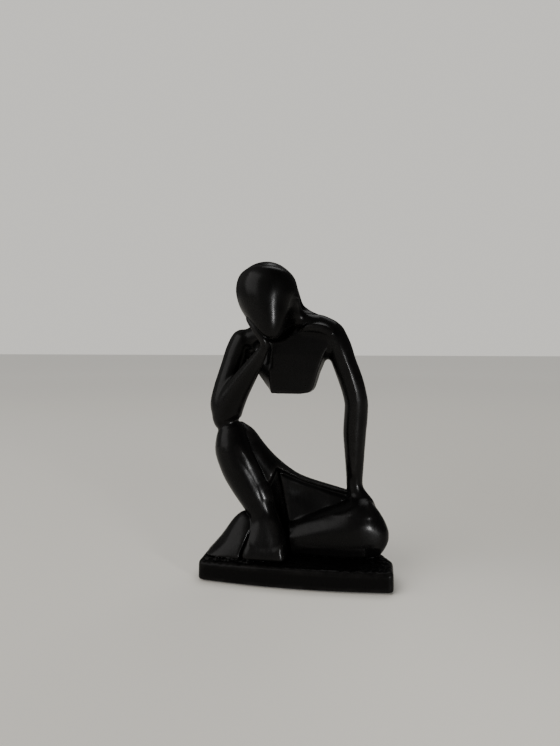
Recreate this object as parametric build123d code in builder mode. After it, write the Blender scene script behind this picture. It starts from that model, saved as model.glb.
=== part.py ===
from build123d import *
import math
import os

# Lacquered figurine of a faceless person half kneeling on a plinth, cast in parts and pinned together.
# Millimetres. +X is to the right seen from the front, +Y is to the back and +Z is up.
# The origin is under the figure, midway between the plinth's ends, on the surface that it stands on.

# Driving dimensions
PLINTH_WIDTH = 151.0
PLINTH_FRONT = -36.5
PLINTH_BULGE = 5.2
PLINTH_BACK = 38.0
PLINTH_TOP = 16.5
PLINTH_CORNER = 4.0
PLINTH_EDGE = 3.0
PLINTH_FOOT_EDGE = 0.8
PAD_THICKNESS = 1.0
PAD_INSET = 3.0
PIN_CLEARANCE = 0.05
TORSO_BOTTOM = 145.2

HALF_WIDTH = PLINTH_WIDTH / 2

# Each station of a limb is (x, y, z, width, depth): the middle of an oval cross-section, its width as
# seen from the front and its depth from front to back.
HEAD = [
    (-19, -26.8, 188.5, 6, 7),
    (-19, -26.6, 190.3, 13, 14),
    (-19.3, -25.8, 195, 20.5, 23),
    (-20.3, -24, 201, 28, 31),
    (-21.9, -21, 209, 35.8, 40),
    (-23.4, -17.5, 218, 44.4, 48),
    (-24.3, -14, 227, 48.2, 52),
    (-24.5, -11.5, 234, 46, 50),
    (-24.6, -9.8, 240, 38.5, 42),
    (-24.6, -9, 245, 28, 31),
    (-24.6, -8.6, 248, 17.5, 19),
    (-24.6, -8.4, 249.7, 7, 8),
]
NECK = [
    (-16, -1, 233, 27, 30),
    (-14, 2, 225, 27.4, 25),
    (-12, 4.5, 217.5, 27.6, 20),
    (-9, 6, 212, 32, 16),
    (-5, 6, 208.5, 40, 15),
    (-2, 6, 204, 46, 15),
    (-2, 5, 198, 46, 15),
]
SHOULDERS = [
    (-43, 2.5, 188.5, 20, 21),
    (-30, 3, 191, 25, 22),
    (-12, 3.5, 194, 29, 22.5),
    (4, 3.5, 195.5, 29.5, 22.5),
    (16, 3, 195.5, 27, 22),
    (26, 2.5, 193.5, 23.6, 21.5),
    (33, 2, 190.5, 21, 21.5),
]
COLLARBONE = [
    (3.2, -6.8, 196.8, 6, 6),
    (5.5, -7.4, 198, 7.6, 7.4),
    (11, -7.6, 198.3, 7.8, 7.8),
    (17, -7.4, 197.6, 8, 8),
    (22.5, -6.6, 195.6, 8.4, 8.4),
    (28, -5.6, 192, 9, 9),
]
STRAIGHT_ARM = [
    (26.4, 2, 193, 20.4, 22),
    (31.7, 2, 182, 20.2, 22),
    (35.8, 2.5, 170.3, 19.2, 21),
    (41.1, 3.5, 156, 19.4, 20),
    (44.2, 4.5, 145, 19, 19),
    (45.6, 5.5, 136, 19, 18.5),
    (45, 7, 124, 19.2, 18.5),
    (44.2, 8, 112, 18.6, 18),
    (44.2, 9.3, 99, 16.8, 16.5),
    (44.3, 10.5, 85, 14.9, 15),
    (44.2, 12, 71, 13.4, 14),
    (45, 11.8, 65.5, 13.8, 15),
    (47.2, 11, 59.5, 17, 17),
    (49.5, 9.5, 53.5, 22, 21),
    (51, 8, 48, 24, 24),
]
PROPPING_UPPER_ARM = [
    (-47.5, 2, 187, 21, 23),
    (-51, 1.5, 179, 21.5, 23),
    (-54.5, 0.5, 169, 20.6, 22.5),
    (-58, -1.5, 158, 20, 22),
    (-61, -3.5, 147, 20.3, 22),
    (-62.6, -5, 136, 21.2, 22),
    (-62, -6, 128, 19, 20),
]
PROPPING_FOREARM = [
    (-58.3, -5.6, 119, 15, 16),
    (-58.8, -5.7, 120.2, 19.5, 18.5),
    (-59.4, -5.8, 122.5, 21.8, 20.2),
    (-59.7, -6.2, 126, 23.4, 21),
    (-58.5, -7.2, 131, 25, 21),
    (-55.6, -9, 138, 24.6, 19.4),
    (-48.8, -12.5, 148.2, 20.8, 16.5),
    (-38.8, -18, 161.6, 16, 13.5),
    (-31, -22.5, 171.8, 12, 11),
    (-25.5, -26, 179.5, 8.6, 9),
    (-22.5, -28, 184.5, 6.6, 8),
]
CHEEK_HAND = [
    (-22.2, -27.5, 184, 6, 7.5),
    (-24, -29.5, 188.5, 6.8, 7.5),
    (-28.5, -30, 195, 6.5, 6.5),
    (-33, -29, 201, 6, 5.5),
    (-36, -27.5, 205, 5, 4.5),
]
RAISED_SHIN = [
    (-56.8, -4, 121.2, 8, 9),
    (-56.8, -4, 120.4, 14.5, 16),
    (-56.6, -4, 118.8, 18.6, 21.5),
    (-56.2, -4.1, 115.2, 21.4, 26),
    (-55.6, -4.4, 110.5, 25.4, 29),
    (-53.5, -5.5, 99, 30.8, 34),
    (-48.4, -7, 86, 30.8, 34),
    (-42, -8, 74, 29.4, 32),
    (-35.4, -10, 63, 26.6, 28),
    (-30.6, -12, 53.5, 22.4, 23),
    (-27.2, -13.5, 46, 18.4, 20),
    (-25, -14.5, 40, 17.6, 18),
]
RAISED_THIGH = [
    (-52, 1, 113, 18, 22),
    (-47, 2, 107, 22, 27),
    (-41, 3, 97, 24, 30),
    (-32, 5, 84.5, 26, 33),
    (-21, 7, 72.5, 29, 36),
    (-8, 9, 63, 30, 39),
    (8, 10.5, 56, 32, 41),
    (26, 11.5, 50, 34, 42),
    (40, 12, 46.5, 33, 40),
]
FOLDED_LEG = [
    (-12, 2, 26, 27, 32),
    (-6, 2.5, 27.3, 29.5, 35),
    (5, 3.5, 29.5, 34, 40),
    (20, 4.5, 32.2, 39.6, 44),
    (35, 5, 34.5, 44, 46),
    (47, 5, 36.2, 48.6, 44),
    (56, 4, 36.2, 46.8, 38),
    (63, 2, 33.6, 37.4, 29),
    (67.5, 0, 33, 26.7, 21),
    (70.8, -1, 32.8, 14.1, 14),
    (72.3, -1.5, 32.5, 6, 6),
]
FOLDED_CALF = [
    (-46, 15, 25, 34, 24),
    (-36, 16, 26, 36, 26),
    (-22, 17.5, 25, 34, 25),
    (-4, 17.5, 24, 30, 24),
]

# Horizontal cross-sections of the torso: front left, front right, right, back right, back left, left.
TORSO = [
    (TORSO_BOTTOM, [(-18.5, -6.6), (1, -6.6), (2.5, 0), (1, 9.6), (-16.5, 9.6), (-20, 3)]),
    (146.2, [(-19, -7), (7.5, -7), (9, 0), (7.5, 10), (-17, 10), (-21, 3)]),
    (148.5, [(-19.2, -7), (10.5, -7), (12, 0), (10.3, 10), (-17.5, 10), (-22.5, 3)]),
    (151.5, [(-19.4, -7.1), (11.8, -7.1), (13.6, 0), (11.6, 10.2), (-18.5, 10.2), (-25, 3)]),
    (162, [(-20, -8), (14.8, -8), (16.8, 1), (14, 12), (-22, 12), (-33, 4)]),
    (177, [(-21, -9), (20.2, -8), (23, 2), (20, 13.5), (-30, 13), (-45, 4)]),
    (192, [(-22, -9), (28, -7), (34, 2), (26, 14), (-34, 13.5), (-46, 3)]),
]
# The hollow of the throat under the jaw: middle and radius.
THROAT = (-20, -17, 206)
THROAT_RADIUS = 21.3
# Horizontal cross-sections of the planted foot: height, middle x, middle y, width, depth.
PLANTED_FOOT = [
    (PLINTH_TOP, -24.5, -19.5, 35, 30),
    (23, -24.5, -19, 33.5, 29),
    (33, -24.5, -17.5, 26, 24),
    (44, -26, -15, 19, 20),
    (52, -29, -12.5, 18, 18),
]
FOOT_CORNER = 4.0
# The folded foot rises from the plinth's end to a crest: x, front y, crest y, crest height, back y.
FOLDED_FOOT = [
    (-74.2, -31, -15, 17, 0),
    (-72.6, -31, -15, 18.5, 2),
    (-69.5, -31.2, -15, 21.6, 6),
    (-66.3, -31.4, -15, 25.2, 10),
    (-60.6, -31.8, -15, 32, 17),
    (-55.8, -32.2, -15, 38.8, 21),
    (-53, -32.6, -15, 42.6, 23),
    (-49.5, -33, -15, 46.2, 25),
    (-45.5, -33.4, -15, 49.2, 26),
    (-40, -34, -14, 51, 27),
    (-34, -34, -13, 51, 27),
]
# The hollow panel under the raised thigh's ridge: x, ridge y, ridge z, lower edge y, lower edge z.
PANEL = [
    (-19, 1.5, 82, -6, 37),
    (4, 5, 72.8, -5, 42),
    (25, 8, 65.6, -2, 48),
    (42, 10.5, 61.5, 3, 52),
]
PANEL_BACK = 22.0
FRONT_CUT = -45.0
CUT_RISE = 30.0
# Front view of the dark slot between the raised leg and the folded one, and how far back it goes.
SLOT = [
    (-18.5, 84),
    (-13.3, 63),
    (-9, 43),
    (-4.5, PLINTH_TOP),
    (-34, PLINTH_TOP),
    (-34, 50),
]
SLOT_BACK = 5.0
# Front view of the web that closes the slot from behind, and its thickness.
WEB = [(-36, PLINTH_TOP), (-12, PLINTH_TOP), (-12, 72), (-22, 80), (-36, 84)]
WEB_FRONT = 6.0
WEB_BACK = 20.0

# Steel pins: middle, direction, diameter, length.
PINS = {
    "neck_pin": ((-5, -1, 208), (-0.55, -0.35, 0.76), 5, 20),
    "straight_shoulder_pin": ((27, 2, 184), (0.95, 0, -0.31), 5, 18),
    "propping_shoulder_pin": ((-43, 2, 188), (1, 0, 0), 5, 16),
    "elbow_pin": ((-61.5, -4, 151), (-0.69, 0, 0.72), 4, 14),
    "elbow_rest_pin": ((-58.5, -5.5, 121), (0, 0, 1), 4, 16),
    "knee_pin": ((-39, 2, 92), (0.75, 0.55, -0.35), 5, 16),
    "ankle_pin": ((-27.5, -13.5, 46.5), (-0.4, 0.15, 0.9), 4, 18),
    "planted_foot_pin": ((-24, -18, PLINTH_TOP), (0, 0, 1), 5, 16),
    "folded_foot_pin": ((-54, -2, PLINTH_TOP), (0, 0, 1), 5, 18),
    "calf_pin": ((-6, 13, 27), (1, 0, 0), 5, 20),
    "folded_leg_pin": ((12, 4, PLINTH_TOP), (0, 0, 1), 6, 20),
    "seat_pin": ((42, 4, PLINTH_TOP), (0, 0, 1), 6, 20),
    "hip_pin": ((12, 9, 52), (0, 0, 1), 5, 18),
    "hand_pin": ((46, 11, 58), (0, 0, 1), 4, 16),
}
# The plinth's end and back edges seen from above, cut back behind the folded knee and the folded foot.
PLINTH_PLAN = [
    (HALF_WIDTH, PLINTH_FRONT),
    (HALF_WIDTH, -12),
    (62, 16),
    (46, PLINTH_BACK),
    (-56, PLINTH_BACK),
    (-HALF_WIDTH, 6),
    (-HALF_WIDTH, PLINTH_FRONT),
]

# Planes where castings meet.
PLINTH_FACE = Plane.XY.offset(PLINTH_TOP)
STRAIGHT_SHOULDER = Plane(origin=(22.5, 0, 176), z_dir=(0.95, 0, -0.31))
PROPPING_SHOULDER = Plane(origin=(-43, 0, 188), z_dir=(-1, 0, 0))
ELBOW = Plane(origin=(-61.5, 0, 151), z_dir=(-0.69, 0, 0.72))
ANKLE = Plane(origin=(-27.5, -13.5, 46.5), z_dir=(-0.4, 0.15, 0.9))
CALF = Plane(origin=(-6.9, 0, 30), z_dir=(0.985, 0, 0.17))

# Angles of the rings that round off a limb's end.
CAP_ANGLES = (25, 48, 68, 84)
RINGS_BETWEEN = 3
# Exponent of the folded leg's lower half: 1 is an oval, less is squarer.
HAUNCH_FULLNESS = 0.68
# How high the folded foot stands halfway up its slope, and how steeply the slope starts.
SLOPE_RISE = 0.68
SLOPE_START = 1.9


def filled_in(stations):
    """Adds stations between the given ones along a monotone cubic, so that a limb doesn't bulge."""
    spans = [math.dist(before[:3], after[:3]) for before, after in zip(stations, stations[1:])]
    columns = []
    for values in zip(*stations):
        rises = [(b - a) / span for a, b, span in zip(values, values[1:], spans)]
        slopes = [rises[0]]
        for a, b in zip(rises, rises[1:]):
            slopes.append(2 * a * b / (a + b) if a * b > 0 else 0.0)
        slopes.append(rises[-1])
        column = [values[0]]
        for i, span in enumerate(spans):
            for step in range(1, RINGS_BETWEEN + 1):
                t = step / RINGS_BETWEEN
                column.append(
                    (2 * t**3 - 3 * t**2 + 1) * values[i]
                    + (t**3 - 2 * t**2 + t) * span * slopes[i]
                    + (3 * t**2 - 2 * t**3) * values[i + 1]
                    + (t**3 - t**2) * span * slopes[i + 1]
                )
        columns.append(column)
    return list(zip(*columns))


def oval(middle, direction, width, depth):
    """One oval cross-section square to a direction, its depth as near to the Y axis as it can lie."""
    back = Vector(0, 1, 0)
    across = back - direction * (back.dot(direction) / direction.dot(direction))
    with BuildSketch(Plane(origin=middle, x_dir=across, z_dir=direction)) as section:
        Ellipse(depth / 2, width / 2)
    return section.sketch


def cap(middle, outward, width, depth, height):
    """Ever smaller ovals that round off the end of a limb."""
    rings = []
    for degrees in CAP_ANGLES:
        angle = math.radians(degrees)
        ring_middle = middle + outward * (height * math.sin(angle))
        rings.append(oval(ring_middle, outward, width * math.cos(angle), depth * math.cos(angle)))
    return rings


def limb(stations, start_cap=0.0, end_cap=0.0, direction=None):
    """The ovals of a limb, each square to the line through its neighbours."""
    stations = filled_in(stations)
    middles = [Vector(*station[:3]) for station in stations]
    directions = []
    for i in range(len(stations)):
        chord = middles[min(i + 1, len(stations) - 1)] - middles[max(i - 1, 0)]
        directions.append(Vector(*direction) if direction else chord.normalized())
    rings = [
        oval(middle, along, station[3], station[4])
        for middle, along, station in zip(middles, directions, stations)
    ]
    if start_cap:
        rings = cap(middles[0], directions[0] * -1, *stations[0][3:], start_cap)[::-1] + rings
    if end_cap:
        rings = rings + cap(middles[-1], directions[-1], *stations[-1][3:], end_cap)
    return rings


def polygon(plane, points):
    """A straight-sided cross-section on a plane."""
    with BuildSketch(plane) as section:
        with BuildLine():
            Polyline(*points, close=True)
        make_face()
    return section.sketch


def plinth_outline():
    """The plinth seen from above, its front edge bulging slightly between the corners."""
    with BuildSketch() as outline:
        with BuildLine():
            ThreePointArc(PLINTH_PLAN[-1], (0, PLINTH_FRONT - PLINTH_BULGE), PLINTH_PLAN[0])
            Polyline(*PLINTH_PLAN)
        make_face()
        fillet(outline.vertices(), PLINTH_CORNER)
    return outline.sketch


def wedge(x, front, crest, top, back):
    """A cross-section of the folded foot: a slope in front, a rounded crest and a slope behind."""
    rise = top - PLINTH_TOP
    with BuildSketch(Plane.YZ.offset(x)) as section:
        with BuildLine():
            Spline(
                (front, PLINTH_TOP),
                ((front + crest) / 2, PLINTH_TOP + SLOPE_RISE * rise),
                (crest, top),
                ((crest + back) / 2, PLINTH_TOP + SLOPE_RISE * rise),
                (back, PLINTH_TOP),
                tangents=((crest - front, SLOPE_START * rise), (back - crest, -SLOPE_START * rise)),
            )
            Line((back, PLINTH_TOP), (front, PLINTH_TOP))
        make_face()
    return section.sketch


def haunch(x, y, z, height, depth):
    """A cross-section of the folded leg: oval above its middle and fuller below it."""
    with BuildSketch(Plane(origin=(x, y, z), x_dir=(0, 1, 0), z_dir=(1, 0, 0))) as section:
        with BuildLine():
            for side, fullness in ((1, 1.0), (-1, HAUNCH_FULLNESS)):
                points = []
                for degrees in range(0, 181, 20):
                    angle = math.radians(degrees)
                    across = math.copysign(abs(math.cos(angle)) ** fullness, math.cos(angle))
                    points.append((across * depth / 2, side * math.sin(angle) ** fullness * height / 2))
                points[-1] = (-depth / 2, 0)
                Spline(*points, tangents=((0, side), (0, -side)))
        make_face()
    return section.sketch


def bar(middle, direction, diameter, length):
    """A round bar from its middle and its direction."""
    with BuildPart() as rod:
        with BuildSketch(Plane(origin=middle, z_dir=direction)):
            Circle(diameter / 2)
        extrude(amount=length / 2, both=True)
    return rod.part


def save(part, name):
    part.label = name
    export_step(part, f"parts/{name}.step")


os.makedirs("parts", exist_ok=True)

HOLES = {
    name: bar(middle, direction, diameter + 2 * PIN_CLEARANCE, length)
    for name, (middle, direction, diameter, length) in PINS.items()
}

# Plinth: a solid slab with soft upper edges.
with BuildPart() as plinth:
    with BuildSketch(Plane.XY.offset(PAD_THICKNESS)):
        add(plinth_outline())
    extrude(amount=PLINTH_TOP - PAD_THICKNESS)
    chamfer(plinth.faces().sort_by(Axis.Z)[0].edges(), PLINTH_FOOT_EDGE)
    fillet(plinth.faces().sort_by(Axis.Z)[-1].edges(), PLINTH_EDGE)
    for name in ("planted_foot_pin", "folded_foot_pin", "folded_leg_pin", "seat_pin"):
        add(HOLES[name], mode=Mode.SUBTRACT)
save(plinth.part, "plinth")

# Folded leg: thigh, knee and calf as one mass with a flat end behind the planted foot.
with BuildPart() as folded_leg:
    loft([haunch(*station) for station in filled_in(FOLDED_LEG)], ruled=True)
    split(bisect_by=PLINTH_FACE, keep=Keep.TOP)
    split(bisect_by=CALF, keep=Keep.TOP)
    for name in ("folded_leg_pin", "seat_pin", "calf_pin", "hip_pin", "hand_pin"):
        add(HOLES[name], mode=Mode.SUBTRACT)
save(folded_leg.part, "folded_leg")

# Planted foot: a fan that widens from the ankle to the plinth's front edge.
with BuildPart() as planted_foot:
    soles = []
    for height, x, y, width, depth in PLANTED_FOOT:
        with BuildSketch(Plane(origin=(x, y, height))) as sole:
            RectangleRounded(width, depth, FOOT_CORNER)
        soles.append(sole.sketch)
    loft(soles)
    split(bisect_by=ANKLE, keep=Keep.BOTTOM)
    for name in ("planted_foot_pin", "ankle_pin"):
        add(HOLES[name], mode=Mode.SUBTRACT)
save(planted_foot.part, "planted_foot")

# Raised shin: a spindle from the ankle to the knee, whose top carries the elbow.
with BuildPart() as raised_shin:
    loft(limb(RAISED_SHIN), ruled=True)
    split(bisect_by=ANKLE, keep=Keep.TOP)
    for name in ("ankle_pin", "knee_pin", "elbow_rest_pin"):
        add(HOLES[name], mode=Mode.SUBTRACT)
save(raised_shin.part, "raised_shin")

# Folded foot: the wedge at the plinth's left end and the calf behind the planted foot.
with BuildPart() as folded_foot:
    loft([wedge(*section) for section in filled_in(FOLDED_FOOT)], ruled=True)
    loft(limb(FOLDED_CALF, direction=(1, 0, 0)), ruled=True)
    split(bisect_by=PLINTH_FACE, keep=Keep.TOP)
    split(bisect_by=CALF, keep=Keep.BOTTOM)
    for neighbour in (planted_foot, raised_shin):
        add(neighbour.part, mode=Mode.SUBTRACT)
    for name in ("folded_foot_pin", "calf_pin"):
        add(HOLES[name], mode=Mode.SUBTRACT)
save(folded_foot.part, "folded_foot")

# Raised thigh: a limb from the knee to the hip, hollowed in front under its ridge.
with BuildPart() as raised_thigh:
    loft(limb(RAISED_THIGH, start_cap=8, end_cap=12), ruled=True)
    loft(
        [
            polygon(
                Plane.YZ.offset(x),
                [(ridge_y, ridge_z), (y, z), (y, PLINTH_TOP), (PANEL_BACK, PLINTH_TOP), (PANEL_BACK, z)],
            )
            for x, ridge_y, ridge_z, y, z in PANEL
        ],
        ruled=True,
    )
    loft(
        [
            polygon(
                Plane.YZ.offset(x),
                [(ridge_y, ridge_z), (y, z), (FRONT_CUT, z), (FRONT_CUT, ridge_z + CUT_RISE)],
            )
            for x, ridge_y, ridge_z, y, z in PANEL
        ],
        ruled=True,
        mode=Mode.SUBTRACT,
    )
    with BuildSketch(Plane.XZ.offset(-SLOT_BACK)) as slot:
        with BuildLine():
            Polyline(*SLOT, close=True)
        make_face()
    extrude(amount=SLOT_BACK - FRONT_CUT, mode=Mode.SUBTRACT)
    with BuildSketch(Plane.XZ.offset(-WEB_BACK)):
        with BuildLine():
            Polyline(*WEB, close=True)
        make_face()
    extrude(amount=WEB_BACK - WEB_FRONT)
    split(bisect_by=PLINTH_FACE, keep=Keep.TOP)
    for neighbour in (folded_leg, raised_shin, folded_foot, planted_foot):
        add(neighbour.part, mode=Mode.SUBTRACT)
    for name in PINS:
        add(HOLES[name], mode=Mode.SUBTRACT)
save(raised_thigh.part, "raised_thigh")

with BuildPart(Plane(origin=THROAT)) as hollow:
    Sphere(THROAT_RADIUS)
throat = hollow.part

# Torso: a flat-fronted plate that tapers to the waist, with a bevel at its front left edge.
with BuildPart() as torso:
    loft([polygon(Plane.XY.offset(height), points) for height, points in TORSO], ruled=True)
    loft(limb(SHOULDERS, end_cap=6, direction=(1, 0, 0)), ruled=True)
    add(throat, mode=Mode.SUBTRACT)
    loft(limb(COLLARBONE, start_cap=2), ruled=True)
    split(bisect_by=STRAIGHT_SHOULDER, keep=Keep.BOTTOM)
    split(bisect_by=PROPPING_SHOULDER, keep=Keep.BOTTOM)
    for name in ("neck_pin", "straight_shoulder_pin", "propping_shoulder_pin"):
        add(HOLES[name], mode=Mode.SUBTRACT)
save(torso.part, "torso")

# Propping arm: the upper arm ends on a slanting face above the elbow.
with BuildPart() as propping_upper_arm:
    loft(limb(PROPPING_UPPER_ARM, start_cap=10.5, end_cap=8), ruled=True)
    split(bisect_by=PROPPING_SHOULDER, keep=Keep.TOP)
    split(bisect_by=ELBOW, keep=Keep.TOP)
    for name in ("propping_shoulder_pin", "elbow_pin"):
        add(HOLES[name], mode=Mode.SUBTRACT)
save(propping_upper_arm.part, "propping_upper_arm")

# Its forearm holds the elbow, which rests on the knee, and the thin hand against the cheek.
with BuildPart() as propping_forearm:
    loft(limb(PROPPING_UPPER_ARM, start_cap=10.5, end_cap=8), ruled=True)
    split(bisect_by=ELBOW, keep=Keep.BOTTOM)
    loft(limb(PROPPING_FOREARM, start_cap=8, end_cap=2), ruled=True)
    loft(limb(CHEEK_HAND, start_cap=2, end_cap=2), ruled=True)
    for neighbour in (propping_upper_arm, raised_shin, raised_thigh, torso):
        add(neighbour.part, mode=Mode.SUBTRACT)
    for name in ("elbow_pin", "elbow_rest_pin"):
        add(HOLES[name], mode=Mode.SUBTRACT)
save(propping_forearm.part, "propping_forearm")

# Head: an egg leaning forward, with a neck that sits on the shoulders.
with BuildPart() as head:
    loft(limb(NECK, direction=(0, 0, -1)), ruled=True)
    loft(limb(HEAD), ruled=True)
    for neighbour in (torso, propping_forearm, propping_upper_arm):
        add(neighbour.part, mode=Mode.SUBTRACT)
    add(HOLES["neck_pin"], mode=Mode.SUBTRACT)
save(head.part, "head")

# Straight arm: from the shoulder down to the hand, which widens into the hip.
with BuildPart() as straight_arm:
    loft(limb(STRAIGHT_ARM, start_cap=10), ruled=True)
    split(bisect_by=STRAIGHT_SHOULDER, keep=Keep.TOP)
    for neighbour in (folded_leg, raised_thigh):
        add(neighbour.part, mode=Mode.SUBTRACT)
    for name in ("straight_shoulder_pin", "hand_pin"):
        add(HOLES[name], mode=Mode.SUBTRACT)
save(straight_arm.part, "straight_arm")

# Steel pins, glued into blind holes across each joint.
for name, pin in PINS.items():
    save(bar(*pin), name)

# Base pad: a thin foam sheet glued under the plinth, a little smaller than it.
with BuildPart() as base_pad:
    with BuildSketch():
        add(plinth_outline())
        offset(amount=-PAD_INSET)
    extrude(amount=PAD_THICKNESS)
save(base_pad.part, "base_pad")
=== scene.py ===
# Visual model of the lacquered kneeling figurine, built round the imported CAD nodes.
# Blender 4.5. The surfaces are worked as distance fields in millimetres, then meshed in metres.
import math

import bpy
import numpy as np
import openvdb
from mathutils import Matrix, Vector


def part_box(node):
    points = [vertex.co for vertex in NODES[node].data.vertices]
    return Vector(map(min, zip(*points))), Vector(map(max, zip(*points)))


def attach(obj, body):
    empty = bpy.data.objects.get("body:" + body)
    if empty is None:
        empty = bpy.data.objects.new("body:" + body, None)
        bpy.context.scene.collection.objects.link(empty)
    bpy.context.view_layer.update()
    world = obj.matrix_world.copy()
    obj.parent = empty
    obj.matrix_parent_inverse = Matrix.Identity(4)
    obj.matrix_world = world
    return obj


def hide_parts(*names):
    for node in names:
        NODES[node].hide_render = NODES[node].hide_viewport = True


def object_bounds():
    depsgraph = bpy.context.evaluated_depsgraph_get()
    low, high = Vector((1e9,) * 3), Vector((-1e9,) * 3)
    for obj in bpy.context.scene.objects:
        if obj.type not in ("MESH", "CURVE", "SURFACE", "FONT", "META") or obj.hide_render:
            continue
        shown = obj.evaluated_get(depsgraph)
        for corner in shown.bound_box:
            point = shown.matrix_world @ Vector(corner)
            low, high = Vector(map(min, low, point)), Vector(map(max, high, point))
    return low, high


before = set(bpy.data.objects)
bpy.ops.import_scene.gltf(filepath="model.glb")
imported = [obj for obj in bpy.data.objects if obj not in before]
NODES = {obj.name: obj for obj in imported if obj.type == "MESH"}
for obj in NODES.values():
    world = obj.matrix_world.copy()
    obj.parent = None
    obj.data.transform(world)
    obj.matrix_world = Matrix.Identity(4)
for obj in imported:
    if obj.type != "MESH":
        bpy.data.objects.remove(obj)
cad_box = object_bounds()

PINS = sorted(name for name in NODES if name.endswith("_pin"))
CASTINGS = sorted(name for name in NODES if name not in PINS and name != "base_pad")

# ---------------------------------------------------------------- camera
# Where the figurine is looked at from, in the model's own frame: metres and degrees.
CAMERA_AT = (0.0615, -0.4494, 0.1860)
CAMERA_TURN = 9.8
CAMERA_DIP = 3.06
LENS_MM = 27.05
SENSOR_MM = 36

camera_data = bpy.data.cameras.new("camera")
camera_data.sensor_width = SENSOR_MM
camera_data.lens = LENS_MM
camera_data.clip_start = 0.01
camera = bpy.data.objects.new("camera", camera_data)
camera.location = CAMERA_AT
camera.rotation_euler = (math.radians(90 - CAMERA_DIP), 0, math.radians(CAMERA_TURN))
bpy.context.scene.collection.objects.link(camera)
bpy.context.scene.camera = camera

# ---------------------------------------------------------------- distance fields
MM = 1000.0          # millimetres in a metre
VOXEL = 0.7          # mm
MARGIN = 12          # voxels kept free round the object
BAND = 9             # voxels each side of a surface that hold true distances
FAR = BAND * VOXEL   # mm, stands for any longer distance
HAIRLINE = 0.3       # mm, half the width of the gaps that are always closed
SEED = 11

low = np.floor(np.array(cad_box[0]) * MM / VOXEL).astype(int) - MARGIN
high = np.ceil(np.array(cad_box[1]) * MM / VOXEL).astype(int) + MARGIN
SHAPE = tuple(high - low)
TRANSFORM = openvdb.createLinearTransform(voxelSize=VOXEL)
# The places of the voxels in millimetres: X to the right, Y to the back, Z up.
X, Y, Z = np.meshgrid(
    *[(low[axis] + np.arange(SHAPE[axis], dtype=np.float32)) * VOXEL for axis in range(3)],
    indexing="ij",
    sparse=True,
)


def soup(names):
    """Points in millimetres and triangles of several CAD nodes."""
    points, triangles, start = [], [], 0
    for name in names:
        mesh = NODES[name].data
        mesh.calc_loop_triangles()
        co = np.empty(len(mesh.vertices) * 3, np.float32)
        mesh.vertices.foreach_get("co", co)
        tri = np.empty(len(mesh.loop_triangles) * 3, np.int32)
        mesh.loop_triangles.foreach_get("vertices", tri)
        points.append(co.reshape(-1, 3) * MM)
        triangles.append(tri.reshape(-1, 3) + start)
        start += len(mesh.vertices)
    return np.concatenate(points), np.concatenate(triangles).astype(np.uint32)


def dense(grid):
    """A sparse grid's values over the whole working box."""
    out = np.empty(SHAPE, np.float32)
    grid.copyToArray(out, ijk=tuple(int(v) for v in low))
    return out


def solid(names, closing=HAIRLINE):
    """Distance to the union of some nodes, without the faces between them.

    The union is swelled by the closing distance and shrunk back, which closes its narrow gaps.
    """
    points, triangles = soup(names)
    swell = closing / VOXEL
    rough = openvdb.FloatGrid.createLevelSetFromPolygons(
        points, triangles=triangles, transform=TRANSFORM, halfWidth=max(3, swell + 2))
    skin, quads = rough.convertToQuads(closing)
    grid = openvdb.FloatGrid.createLevelSetFromPolygons(
        skin, quads=quads, transform=TRANSFORM, halfWidth=max(BAND, swell + 3))
    return dense(grid) + closing


def plain(name):
    """Distance to one CAD node."""
    points, triangles = soup([name])
    return dense(openvdb.FloatGrid.createLevelSetFromPolygons(
        points, triangles=triangles, transform=TRANSFORM, halfWidth=BAND))


def blurred(field, sigma):
    """Gaussian blur, sigma in millimetres."""
    reach = max(1, int(math.ceil(3 * sigma / VOXEL)))
    steps = np.arange(-reach, reach + 1) * VOXEL
    kernel = np.exp(-0.5 * (steps / sigma) ** 2)
    kernel = (kernel / kernel.sum()).astype(np.float32)
    out = field
    for axis in range(3):
        source = np.moveaxis(out, axis, 0)
        made = source * kernel[reach]
        for k in range(1, reach + 1):
            made[k:] += source[:-k] * kernel[reach + k]
            made[:-k] += source[k:] * kernel[reach - k]
            made[:k] += source[:1] * kernel[reach + k]
            made[-k:] += source[-1:] * kernel[reach - k]
        out = np.moveaxis(made, 0, axis)
    return np.ascontiguousarray(out)


def blur_in(field, sigma, mask):
    """Blurs a field in place where a mask is 1, and by part of the way where it is less."""
    field += (blurred(field, sigma) - field) * mask


def joined(a, b, width):
    """Union of two fields with a fillet of about the given width."""
    meet = np.clip(0.5 + 0.5 * (b - a) / width, 0, 1)
    return b + (a - b) * meet - width * meet * (1 - meet)


def rod(start, end, first_radius, last_radius):
    """Distance to a rod whose radius changes from one end to the other."""
    span = np.subtract(end, start)
    along = (X - start[0]) * span[0] + (Y - start[1]) * span[1] + (Z - start[2]) * span[2]
    share = np.clip(along / (span @ span), 0, 1)
    away = np.sqrt((X - start[0] - share * span[0]) ** 2 + (Y - start[1] - share * span[1]) ** 2
                   + (Z - start[2] - share * span[2]) ** 2)
    return away - first_radius - share * (last_radius - first_radius)


def step_up(values, start, end):
    """0 before start, 1 after end, smooth between them."""
    t = np.clip((values - start) / (end - start), 0, 1)
    return t * t * (3 - 2 * t)


def step_down(values, start, end):
    """1 before start, 0 after end, smooth between them."""
    return 1 - step_up(values, start, end)


def from_line(line):
    """Distance from a line of x, z points in the front view, and how far along it, 0 to 1."""
    best, place = None, None
    spans = [math.dist(a, b) for a, b in zip(line, line[1:])]
    gone = 0.0
    for (a, b), span in zip(zip(line, line[1:]), spans):
        du, dv = (b[0] - a[0]) / span, (b[1] - a[1]) / span
        along = np.clip((X - a[0]) * du + (Z - a[1]) * dv, 0, span)
        away = np.hypot(X - a[0] - along * du, Z - a[1] - along * dv)
        here = (gone + along) / sum(spans)
        if best is None:
            best, place = away, here
        else:
            place = np.where(away < best, here, place)
            best = np.minimum(best, away)
        gone += span
    return best, place


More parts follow.
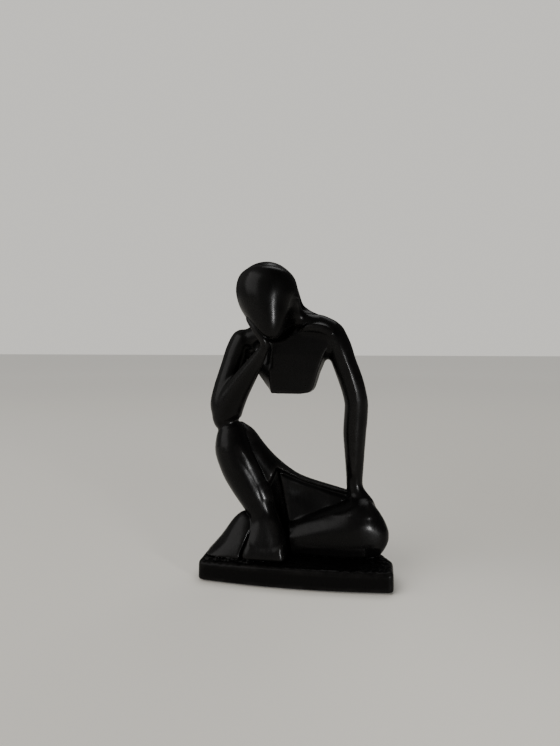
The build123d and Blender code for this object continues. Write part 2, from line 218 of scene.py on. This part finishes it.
def ends_fade(place, fade):
    """1 along a line's middle, falling to 0 over a share of it at each end."""
    return step_up(place, 0, fade) * step_up(1 - place, 0, fade)


def keel(line, height, width, fade):
    """How much a sharp ridge along a line raises the surface."""
    away, place = from_line(line)
    return height * np.clip(1 - away / width, 0, 1) * ends_fade(place, fade)


def welt(line, height, width, fade):
    """A soft ridge along a line. Added to a distance, it cuts a groove of that depth."""
    away, place = from_line(line)
    return height * np.exp(-(away / width) ** 2) * ends_fade(place, fade)


def pits(first, second, spacing, seed):
    """Distance to the nearest of scattered points, over a plane, as a share of the spacing."""
    draws = np.random.default_rng(seed)
    u0, u1 = float(first.min()), float(first.max())
    v0, v1 = float(second.min()), float(second.max())
    best = np.full(np.broadcast(first, second).shape, np.inf, np.float32)
    for u in np.arange(u0, u1, spacing):
        for v in np.arange(v0, v1, spacing):
            du, dv = draws.uniform(0, spacing, 2)
            np.minimum(best, np.hypot(first - u - du, second - v - dv) / spacing, out=best)
    return best


# ---------------------------------------------------------------- limbs that share a skin
# Closing distances fill the creases between neighbours, blurs round their edges.
UPPER_BODY = ["torso", "head", "straight_arm", "propping_upper_arm", "neck_pin",
              "straight_shoulder_pin", "propping_shoulder_pin"]
LEG_PINS = ["hip_pin", "folded_leg_pin", "seat_pin", "hand_pin", "calf_pin", "folded_foot_pin"]

upper = blurred(solid(UPPER_BODY, closing=2.0), sigma=1.5)
back_of_torso = step_up(Y, 6, 12) * step_up(X, -44, -38) * step_down(X, 16, 24) * step_up(Z, 144, 150)
blur_in(upper, sigma=2.6, mask=back_of_torso)
plate = blurred(solid(["torso"]), sigma=0.5)
arm = blurred(solid(["propping_upper_arm", "propping_forearm", "elbow_pin"]), sigma=1.1)
hand = blurred(solid(["folded_leg", "straight_arm", "hand_pin"], closing=5), sigma=1.2)
hip = blurred(solid(["raised_thigh", "folded_leg", "straight_arm"] + LEG_PINS), sigma=0.7)
knee = blurred(solid(["raised_shin", "propping_forearm", "elbow_rest_pin"], closing=1.2), sigma=0.7)
leg = blurred(solid(["raised_shin", "planted_foot", "ankle_pin"], closing=6), sigma=1.8)
calf = blurred(solid(["folded_leg", "folded_foot"] + LEG_PINS), sigma=1.2)
blur_in(calf, sigma=3, mask=step_up(Y, 10, 16) * step_down(X, 8, 16))

# The plinth's upper edges are soft, its lower ones crisp.
slab = solid(["plinth"])
base = blurred(slab, sigma=1.3)
base += (blurred(slab, sigma=0.4) - base) * step_down(Z, 4, 9)

# The neck's right side comes forward to meet the jaw: x, y, z and radius.
NECK_FILL = [(-11, -14, 226, 10.6), (-8.5, -11, 218, 9.8), (-6, -8, 212, 7.6), (0, -4, 206, 5.6),
             (10, -2, 201.5, 6.0)]
NECK_FILLET = 3      # mm
skull = solid(["head", "neck_pin"], closing=7)
for start, end in zip(NECK_FILL, NECK_FILL[1:]):
    skull = joined(rod(start[:3], end[:3], start[3], end[3]), skull, NECK_FILLET)
skull = blurred(skull, sigma=1.3)

# The bevel left of the chest is scooped out, which leaves the chest's edge sharp. Below the scoop
# the bevel's far edge stands out further.
OUTWARD = 5          # voxels
scoop = rod((-30.5, -10, 180), (-30, -9, 156), 9, 4.5)
below_scoop = step_up(X, -43, -39) * step_down(X, -22, -15) * step_down(Z, 163, 171)


def bevelled(field):
    """A field with the scoop taken out of it and the bevel's edge moved outward."""
    field = np.maximum(field, -scoop)
    field += (np.roll(field, -OUTWARD, axis=0) - field) * below_scoop
    return field


plate = bevelled(plate)
upper = bevelled(upper)

# ---------------------------------------------------------------- sculpted detail
# Lines in the front view: x and z in millimetres.
ARM_KEEL = [(27.6, 196.3), (31.6, 186), (36.3, 175), (39.5, 167.2), (42.7, 157), (45.1, 147.5),
            (45.9, 139.6), (44.5, 125.3), (44.6, 109.4), (43.9, 93.4), (42.5, 77.3), (41.7, 67.6)]
SHIN_RIDGE = [(-49, 109), (-42.2, 99.5), (-33.5, 88), (-26.5, 76), (-22, 64), (-18.5, 52),
              (-13.5, 38), (-9, 22)]
HEEL_GROOVE = [(-31.2, 46), (-37.3, 31.7), (-42.1, 21), (-42.6, 14)]
RIM_GROOVE = [(-17, 79.5), (4, 70.6), (25, 63.9), (39, 60)]
LAP_GROOVE = [(-9, 39), (8, 44.5), (24, 50.5), (38, 57)]
ELBOW_LINE = [(-64, 120.2), (-62.4, 121), (-55, 123), (-47, 125.6)]

# The straight arm is keeled in front, its flanks almost flat.
arm_keel = keel(ARM_KEEL, height=1.5, width=8.0, fade=0.1) * step_down(Y, 1, 6)
upper -= arm_keel * step_up(X, 22, 28)
hand -= arm_keel

# The raised shin and the planted foot have a ridge on their inner side.
leg -= keel(SHIN_RIDGE, height=1.8, width=6.5, fade=0.12) * step_down(Y, -8, 0)

# The groove between the planted foot and the folded one.
calf += welt(HEEL_GROOVE, height=0.9, width=1.3, fade=0.05) * step_down(Y, -24, -16)

# The hollow panel is dished, with one groove along its rim and one along the lap.
DISH_DEPTH = 2.2     # mm
DISH_AT = (6, 60)    # x and z
DISH_HALF = (24, 12)
DISH_TILT = 0.35     # how fast its middle line falls to the right
across = X - DISH_AT[0]
dish = np.clip(1 - (across / DISH_HALF[0]) ** 2
               - ((Z - DISH_AT[1] + DISH_TILT * across) / DISH_HALF[1]) ** 2, 0, 1)
hip += DISH_DEPTH * dish * dish * step_down(Y, 12, 18)
grooves = (welt(RIM_GROOVE, height=1.6, width=1.6, fade=0.05)
           + welt(LAP_GROOVE, height=1.3, width=1.4, fade=0.05))
hip += grooves * step_down(Y, 9, 14)

# The plinth's upper face is hammered, its sides are smooth.
PLINTH_TOP = 16.5     # mm
HAMMER_SPACING = 4.6  # mm
HAMMER_DEPTH = 0.9    # mm
PIT_RADIUS = 1.1      # as a share of the spacing
rough_top = step_up(Z, PLINTH_TOP - 3.5, PLINTH_TOP - 1) * step_up(-Y, -40, -30)
inside = step_up(Y, -40.5, -36) * step_up(X, -74, -70) * step_down(X, 70, 74)
hammered = 1 - np.clip(pits(X, Y, HAMMER_SPACING, SEED), 0, PIT_RADIUS) / PIT_RADIUS
base += HAMMER_DEPTH * hammered ** 1.5 * rough_top * inside

# A ragged line of filler where the folded foot meets the plinth's front edge.
BLOBS = 26
BLOB_DROP = 0.6       # mm that the blobs' centres lie below the upper face
FILLER_START = (-70, -30.5)
FILLER_SPAN = (34, -3.2)
rng = np.random.default_rng(SEED)
for step in range(BLOBS):
    x = FILLER_START[0] + FILLER_SPAN[0] * step / (BLOBS - 1) + rng.uniform(-0.5, 0.5)
    y = FILLER_START[1] + FILLER_SPAN[1] * step / (BLOBS - 1) + rng.uniform(-1.0, 0.6)
    away = np.sqrt((X - x) ** 2 + (Y - y) ** 2 + (Z - PLINTH_TOP + BLOB_DROP) ** 2)
    base = np.minimum(base, away - rng.uniform(1.0, 1.9))

# One skin from all the groups. The neck meets the shoulders in a crease at its left in front, and
# flows into them at its right and at the back.
NECK_CREASE = 0.3    # mm
NECK_FLOW = 3        # mm more
whole = base
for field in (arm, plate, leg, hip, hand, calf, knee):
    whole = np.minimum(whole, field)
flowing = np.maximum(step_up(X, 1, 6), step_up(Y, 4, 10))
whole = np.minimum(whole, joined(upper, skull, NECK_CREASE + NECK_FLOW * flowing))

# The folded leg stands almost upright in front, down to a narrow gap above the plinth.
WALL_TOP = 27.0      # mm
GAP_TOP = 18.2       # mm
WALL_BACK = 4        # mm
WALL_ENDS = (-4, 54)
WALL_LEAN = 0.10     # how fast it draws in downwards
END_TAPER = 0.6      # how fast it draws in past its ends
wall = calf[:, :, int(round(WALL_TOP / VOXEL)) - low[2], None] + WALL_LEAN * (WALL_TOP - Z)
wall = np.maximum(wall, GAP_TOP - Z)
wall = wall + END_TAPER * np.clip(X - WALL_ENDS[1], 0, None)
wall = wall + END_TAPER * np.clip(WALL_ENDS[0] - X, 0, None)
wall = np.maximum(wall, Z - WALL_TOP)
wall = np.maximum(wall, Y - WALL_BACK)
whole = np.minimum(whole, blurred(wall, sigma=0.7))

# The elbow is pinched where it rests on the knee.
whole += welt(ELBOW_LINE, height=1.0, width=2.2, fade=0.2) * step_down(Y, -8, -2)

# Stretches that are rubbed smooth: middle, reach along each axis.
SMOOTH_SPOTS = [
    ((34, -16, 37), (44, 20, 13)),      # front of the folded leg
    ((-23, -22, 43), (15, 16, 20)),     # ankle
    ((-3, -14, 214), (9, 12, 8)),       # side of the neck
    ((1, -6, 204), (6, 10, 6)),         # foot of the neck
]
rubbed = np.zeros(SHAPE, np.float32)
for middle, reach in SMOOTH_SPOTS:
    away = (((X - middle[0]) / reach[0]) ** 4 + ((Y - middle[1]) / reach[1]) ** 4
            + ((Z - middle[2]) / reach[2]) ** 4)
    np.maximum(rubbed, step_down(away, 0.35, 1), out=rubbed)
blur_in(whole, sigma=2.6, mask=rubbed)

# A blurred copy of the skin's field. On the skin it is above zero along edges and below zero in
# creases.
EDGE_REACH = 4       # mm
rounded = blurred(np.clip(whole, -EDGE_REACH, EDGE_REACH), sigma=2.0)

# ---------------------------------------------------------------- meshes
TUCK = 0.8           # mm that a piece reaches under its neighbour
SINK = 0.35          # how fast a piece sinks below the skin past its joint
SPARE = 8            # voxels kept round a piece
DEPTH = 2.0          # mm each side of a surface that are kept for meshing
ON_SKIN = 0.25       # mm, within which a point counts as a point of the skin
SETTLE_ROUNDS = 2    # times that the points are moved onto the skin
FULL_EDGE = 0.9      # mm between the skin and its blurred copy on a full edge

near = {name: plain(name) for name in CASTINGS}


def mesh_of(name):
    """The part of the whole skin that belongs to a casting, closed along its joints."""
    corner, top = [np.array(c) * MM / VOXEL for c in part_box(name)]
    a = np.maximum(np.floor(corner).astype(int) - low - SPARE, 0)
    b = np.minimum(np.ceil(top).astype(int) - low + SPARE + 1, SHAPE)
    cut = tuple(slice(int(p), int(q)) for p, q in zip(a, b))
    others = np.full([q - p for p, q in zip(a, b)], FAR, np.float32)
    for other in CASTINGS:
        if other != name:
            np.minimum(others, near[other][cut], out=others)
    beyond = (near[name][cut] - others) / 2
    field = np.maximum(whole[cut] + SINK * np.maximum(beyond, 0), beyond - TUCK)
    field = np.clip(field, -DEPTH, DEPTH)
    for axis in range(3):
        layers = np.moveaxis(field, axis, 0)
        layers[0] = DEPTH
        layers[-1] = DEPTH
    grid = openvdb.FloatGrid(DEPTH)
    grid.transform = TRANSFORM
    grid.gridClass = openvdb.GridClass.LEVEL_SET
    grid.copyFromArray(field, ijk=tuple(int(v) for v in low + a))
    return grid.convertToQuads(0)


def sample(field, points):
    """Trilinear samples of a field at points in millimetres."""
    at = points / VOXEL - low
    cell = np.clip(np.floor(at).astype(int), 0, np.array(SHAPE) - 2)
    f = (at - cell).astype(np.float32)
    total = 0
    for corner in range(8):
        offset = np.array([corner & 1, corner >> 1 & 1, corner >> 2 & 1])
        weight = np.prod(np.where(offset, f, 1 - f), axis=1)
        i, j, k = (cell + offset).T
        total = total + weight * field[i, j, k]
    return total


def slope(field, points):
    """Unit gradient of a field at points in millimetres."""
    parts = []
    for axis in range(3):
        offset = np.zeros(3, np.float32)
        offset[axis] = 0.6 * VOXEL
        parts.append(sample(field, points + offset) - sample(field, points - offset))
    normal = np.stack(parts, 1)
    return normal / np.maximum(np.linalg.norm(normal, axis=1, keepdims=True), 1e-9)


def finished(name):
    """The finished surface of one casting, with the whole skin's normals, so that no joint shows."""
    points, quads = mesh_of(name)
    points = points.astype(np.float32)
    for _ in range(SETTLE_ROUNDS):
        miss = sample(whole, points)
        outer = np.abs(miss) < ON_SKIN
        points[outer] -= (slope(whole, points) * miss[:, None])[outer]
    normals = slope(whole, points)
    mesh = bpy.data.meshes.new(name + "_finished")
    mesh.vertices.add(len(points))
    mesh.vertices.foreach_set("co", (points / MM).ravel())
    mesh.loops.add(len(quads) * 4)
    mesh.loops.foreach_set("vertex_index", quads.astype(np.int32).ravel())
    mesh.polygons.add(len(quads))
    mesh.polygons.foreach_set("loop_start", np.arange(len(quads), dtype=np.int32) * 4)
    mesh.update(calc_edges=True)
    mesh.validate()
    edge = mesh.attributes.new("edge", "FLOAT", "POINT")
    wear = np.clip(sample(rounded, points) / FULL_EDGE, -1, 1)
    edge.data.foreach_set("value", wear.astype(np.float32))
    corners = points[quads]
    faces = np.cross(corners[:, 1] - corners[:, 0], corners[:, 2] - corners[:, 0])
    if (faces * normals[quads[:, 0]]).sum() < 0:
        mesh.flip_normals()
    mesh.shade_smooth()
    mesh.normals_split_custom_set_from_vertices(normals.tolist())
    piece = bpy.data.objects.new(name + "_finished", mesh)
    bpy.context.scene.collection.objects.link(piece)
    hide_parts(name)
    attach(piece, "root")
    return piece


PIECES = {name: finished(name) for name in CASTINGS}


# ---------------------------------------------------------------- materials
class Paint:
    """A principled material and the nodes that feed it."""

    def __init__(self, name):
        self.material = bpy.data.materials.new(name)
        self.material.use_nodes = True
        self.tree = self.material.node_tree
        self.shader = self.tree.nodes["Principled BSDF"]
        self.place = self.add("ShaderNodeTexCoord").outputs["Object"]

    def add(self, kind, **settings):
        """A new node with some of its settings."""
        node = self.tree.nodes.new(kind)
        for key, value in settings.items():
            setattr(node, key, value)
        return node

    def link(self, source, target):
        """A link from one socket to another."""
        self.tree.links.new(source, target)

    def feed(self, source, name):
        """A link from a socket to one of the shader's inputs."""
        self.link(source, self.shader.inputs[name])

    def noise(self, scale, detail, roughness=0.5, stretch=(1, 1, 1)):
        """A value from 0 to 1 that changes at random from place to place."""
        mapping = self.add("ShaderNodeMapping")
        mapping.inputs["Scale"].default_value = stretch
        self.link(self.place, mapping.inputs["Vector"])
        node = self.add("ShaderNodeTexNoise")
        node.inputs["Scale"].default_value = scale
        node.inputs["Detail"].default_value = detail
        node.inputs["Roughness"].default_value = roughness
        self.link(mapping.outputs[0], node.inputs["Vector"])
        return node.outputs["Fac"]

    def span(self, source, taken, given):
        """A value moved from one range to another and held inside it."""
        node = self.add("ShaderNodeMapRange")
        node.inputs["From Min"].default_value = taken[0]
        node.inputs["From Max"].default_value = taken[1]
        node.inputs["To Min"].default_value = given[0]
        node.inputs["To Max"].default_value = given[1]
        self.link(source, node.inputs["Value"])
        return node.outputs["Result"]

    def reckon(self, operation, a, b):
        """Arithmetic on two values."""
        node = self.add("ShaderNodeMath", operation=operation)
        self.link(a, node.inputs[0])
        self.link(b, node.inputs[1])
        return node.outputs[0]

    def blend(self, amount, first, second):
        """A colour between two others."""
        node = self.add("ShaderNodeMix", data_type="RGBA")
        node.inputs[6].default_value = (*first, 1)
        node.inputs[7].default_value = (*second, 1)
        self.link(amount, node.inputs[0])
        return node.outputs[2]

    def bump(self, height, strength, distance):
        """Relief that is too fine for the mesh."""
        node = self.add("ShaderNodeBump")
        node.inputs["Strength"].default_value = strength
        node.inputs["Distance"].default_value = distance
        self.link(height, node.inputs["Height"])
        self.feed(node.outputs[0], "Normal")


FRESH_LACQUER = (0.0017, 0.0016, 0.0016)
WORN_LACQUER = (0.0072, 0.0067, 0.0064)
DARK_STEEL = (0.42, 0.42, 0.43)
LIGHT_STEEL = (0.62, 0.62, 0.63)
CELL_MIDDLE = (0.018, 0.018, 0.019)
CELL_WALL = (0.04, 0.04, 0.042)


def black_lacquer(name, shine):
    """Hand-brushed satin lacquer, a little mottled, rubbed lighter on the edges."""
    paint = Paint(name)
    mottle = paint.noise(scale=90, detail=4, roughness=0.6)
    brush = paint.noise(scale=420, detail=2, stretch=(1, 1, 0.35))
    edge = paint.add("ShaderNodeAttribute", attribute_name="edge").outputs["Fac"]
    on_edges = paint.span(edge, (0.15, 0.7), (0, 1))
    in_patches = paint.span(mottle, (0.35, 0.65), (0.2, 1))
    worn = paint.reckon("MULTIPLY", on_edges, in_patches)
    paint.feed(paint.blend(worn, FRESH_LACQUER, WORN_LACQUER), "Base Color")
    wide_sheen = paint.span(mottle, (0.3, 0.7), (0.21, 0.31))
    fine_sheen = paint.span(brush, (0.3, 0.7), (-0.025, 0.035))
    paint.feed(paint.reckon("ADD", wide_sheen, fine_sheen), "Roughness")
    paint.shader.inputs["Specular IOR Level"].default_value = shine
    paint.bump(paint.reckon("ADD", mottle, brush), strength=0.12, distance=0.0004)
    return paint.material


def drawn_steel():
    """Bright steel with faint upright lines."""
    paint = Paint("drawn_steel")
    lines = paint.noise(scale=900, detail=2, stretch=(1, 1, 0.05))
    paint.feed(paint.blend(lines, DARK_STEEL, LIGHT_STEEL), "Base Color")
    paint.feed(paint.span(lines, (0.3, 0.7), (0.28, 0.42)), "Roughness")
    paint.shader.inputs["Metallic"].default_value = 1.0
    return paint.material


def pad_foam():
    """Matte black foam with fine cells."""
    paint = Paint("pad_foam")
    cells = paint.add("ShaderNodeTexVoronoi")
    cells.inputs["Scale"].default_value = 2200
    paint.link(paint.place, cells.inputs["Vector"])
    paint.feed(paint.blend(cells.outputs["Distance"], CELL_MIDDLE, CELL_WALL), "Base Color")
    paint.shader.inputs["Roughness"].default_value = 0.9
    paint.bump(cells.outputs["Distance"], strength=0.5, distance=0.0002)
    return paint.material


figure_lacquer = black_lacquer("figure_lacquer", shine=0.10)
plinth_lacquer = black_lacquer("plinth_lacquer", shine=0.05)
for name, piece in PIECES.items():
    piece.data.materials.append(plinth_lacquer if name == "plinth" else figure_lacquer)
steel = drawn_steel()
foam = pad_foam()
for name, material in [(name, steel) for name in PINS] + [("base_pad", foam)]:
    for material_slot in NODES[name].material_slots:
        material_slot.material = material

# ---------------------------------------------------------------- floor
# A pale table top that turns into the backdrop's colour further off. It gives off some light of its
# own, except in the narrow shadow right next to the plinth. Lengths in metres.
FLOOR_HALF = 8
FLOOR_DROP = 0.0002
TABLE_TOP = (0.60, 0.58, 0.53)
BACKDROP = (0.80, 0.78, 0.73)
SHADOW_REACH = 0.012
GLOW = 0.42

floor_mesh = bpy.data.meshes.new("floor")
floor_corners = [(-FLOOR_HALF, -FLOOR_HALF, 0), (FLOOR_HALF, -FLOOR_HALF, 0),
                 (FLOOR_HALF, FLOOR_HALF, 0), (-FLOOR_HALF, FLOOR_HALF, 0)]
floor_mesh.from_pydata(floor_corners, [], [(0, 1, 2, 3)])
floor = bpy.data.objects.new("floor", floor_mesh)
bpy.context.scene.collection.objects.link(floor)
floor.location.z = -FLOOR_DROP

table_paint = Paint("floor")
distance = table_paint.add("ShaderNodeVectorMath", operation="LENGTH")
table_paint.link(table_paint.place, distance.inputs[0])
far_off = table_paint.span(distance.outputs["Value"], (0.3, 3.0), (0, 1))
pale = table_paint.blend(far_off, TABLE_TOP, BACKDROP)
table_paint.feed(pale, "Base Color")
table_paint.feed(pale, "Emission Color")
open_sky = table_paint.add("ShaderNodeAmbientOcclusion", samples=12)
open_sky.inputs["Distance"].default_value = SHADOW_REACH
table_paint.feed(table_paint.span(open_sky.outputs["AO"], (0.45, 0.95), (0, GLOW)), "Emission Strength")
table_paint.shader.inputs["Roughness"].default_value = 0.5
floor_mesh.materials.append(table_paint.material)

# ---------------------------------------------------------------- light
# The room is brighter towards the window, in front at the left. The camera sees a plain backdrop.
TO_WINDOW = (-0.70, -0.62, 0.35)
ROOM_TINT = (1, 0.985, 0.95)
DARK_SIDE = 0.07
WINDOW_SIDE = 0.56

world = bpy.data.worlds.new("studio")
bpy.context.scene.world = world
world.use_nodes = True
tree = world.node_tree
towards = tree.nodes.new("ShaderNodeVectorMath")
towards.operation = "DOT_PRODUCT"
towards.inputs[1].default_value = TO_WINDOW
tree.links.new(tree.nodes.new("ShaderNodeTexCoord").outputs["Generated"], towards.inputs[0])
brightness = tree.nodes.new("ShaderNodeMapRange")
brightness.interpolation_type = "SMOOTHSTEP"
brightness.inputs["From Min"].default_value = 0.0
brightness.inputs["From Max"].default_value = 1.0
brightness.inputs["To Min"].default_value = DARK_SIDE
brightness.inputs["To Max"].default_value = WINDOW_SIDE
tree.links.new(towards.outputs["Value"], brightness.inputs["Value"])
tinted = tree.nodes.new("ShaderNodeCombineXYZ")
for axis, share in zip("XYZ", ROOM_TINT):
    scaled = tree.nodes.new("ShaderNodeMath")
    scaled.operation = "MULTIPLY"
    scaled.inputs[1].default_value = share
    tree.links.new(brightness.outputs["Result"], scaled.inputs[0])
    tree.links.new(scaled.outputs[0], tinted.inputs[axis])
seen = tree.nodes.new("ShaderNodeMix")
seen.data_type = "RGBA"
seen.inputs[7].default_value = (*BACKDROP, 1)
tree.links.new(tinted.outputs[0], seen.inputs[6])
tree.links.new(tree.nodes.new("ShaderNodeLightPath").outputs["Is Camera Ray"], seen.inputs[0])
tree.links.new(seen.outputs[2], tree.nodes["Background"].inputs["Color"])


def softbox(name, at, size, watts, aim=(0, 0, 0.12), colour=(1, 1, 1), spread=180):
    """A rectangular area light: metres, watts, and degrees for its spread."""
    light = bpy.data.lights.new(name, "AREA")
    light.spread = math.radians(spread)
    light.shape = "RECTANGLE"
    light.size = size[0]
    light.size_y = size[1]
    light.energy = watts
    light.color = colour
    lamp = bpy.data.objects.new(name, light)
    lamp.location = at
    lamp.rotation_euler = (Vector(aim) - Vector(at)).to_track_quat("-Z", "Y").to_euler()
    bpy.context.scene.collection.objects.link(lamp)


softbox("window", at=(-1.1, -0.9, 1.0), size=(1.5, 1.5), watts=20, colour=(1, 0.98, 0.97))
softbox("strip", at=(0.52, -0.54, 0.13), size=(0.07, 0.14), watts=0.4, aim=(0, 0, 0.10), spread=50)
softbox("behind", at=(0.2, 0.9, 1.7), size=(0.9, 0.9), watts=5)
